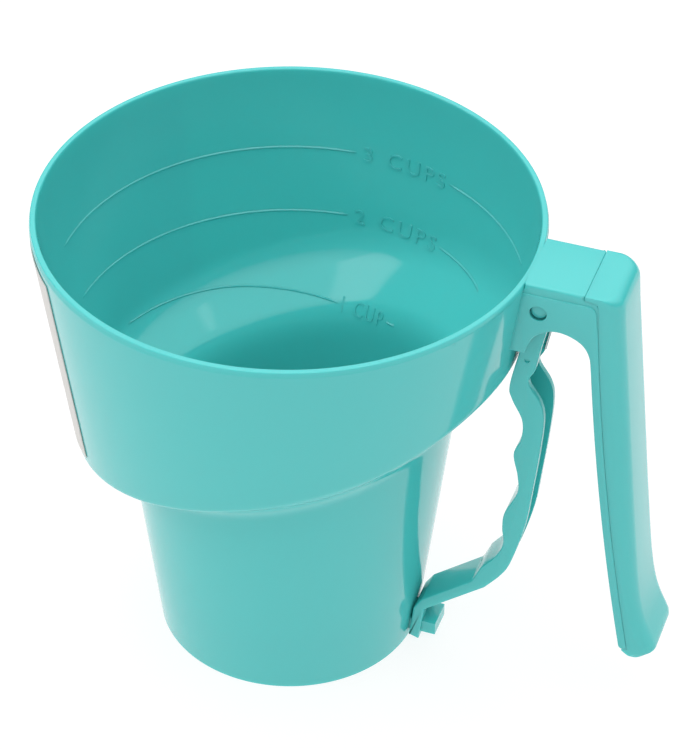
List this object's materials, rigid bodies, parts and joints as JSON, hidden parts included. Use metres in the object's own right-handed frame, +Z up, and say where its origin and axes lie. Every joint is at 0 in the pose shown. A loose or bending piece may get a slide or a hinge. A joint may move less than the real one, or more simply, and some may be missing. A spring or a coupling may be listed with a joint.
{
  "type": "flour sifter",
  "caption": "Squeeze-handle flour sifter: stepped plastic cup, sprung trigger, drive link and agitator over a fine round screen.",
  "frame": {"origin": "centre of the footprint box at the plane the cup stands on", "axes": "+X from the cup towards the handle, +Z up along the cup's axis"},
  "size_m": [0.1767, 0.1356, 0.1381],
  "materials": {
    "turquoise_plastic": "moulded plastic, satin to glossy, turquoise",
    "inner_plastic": "moulded plastic, slightly darker turquoise, for the pieces inside",
    "steel": "plain steel wire and sheet",
    "label_paper": "thin plain coated label"
  },
  "bodies": {
    "cup": {"cup_body": "turquoise_plastic", "handle_back_shell": "turquoise_plastic", "pivot_pin": "turquoise_plastic", "return_spring": "steel", "front_label": "label_paper", "screen_frame": "inner_plastic", "mesh_screen": "steel", "screen_clamp_ring": "inner_plastic"},
    "trigger": {"trigger": "turquoise_plastic"},
    "drive_link": {"drive_link": "inner_plastic"},
    "agitator": {"agitator": "inner_plastic", "agitator_shaft": "steel", "crank": "inner_plastic", "shaft_washer": "steel", "shaft_cap": "steel"}
  },
  "joints": [
    {"name": "trigger_squeeze", "type": "hinge", "parent": "cup", "child": "trigger", "pos_m": [0.05074, 0, 0.1298], "axis": [0, -1, 0], "range_deg": [0, 10], "stiffness_Nm_per_rad": 0.6, "springref_deg": -20.05, "deforming": ["return_spring"]},
    {"name": "link_slide", "type": "slide", "parent": "cup", "child": "drive_link", "axis": [1, 0, 0], "range_m": [0, 0.02227]},
    {"name": "agitator_turn", "type": "hinge", "parent": "cup", "child": "agitator", "pos_m": [-0.02046, 0, 0.02], "axis": [0, 0, -1], "range_deg": [0, 76.23]}
  ],
  "couplings": [
    {"joint": "link_slide", "follows": "trigger_squeeze", "m_per_rad": 0.12703},
    {"joint": "agitator_turn", "follows": "trigger_squeeze", "ratio": 7.6028}
  ]
}
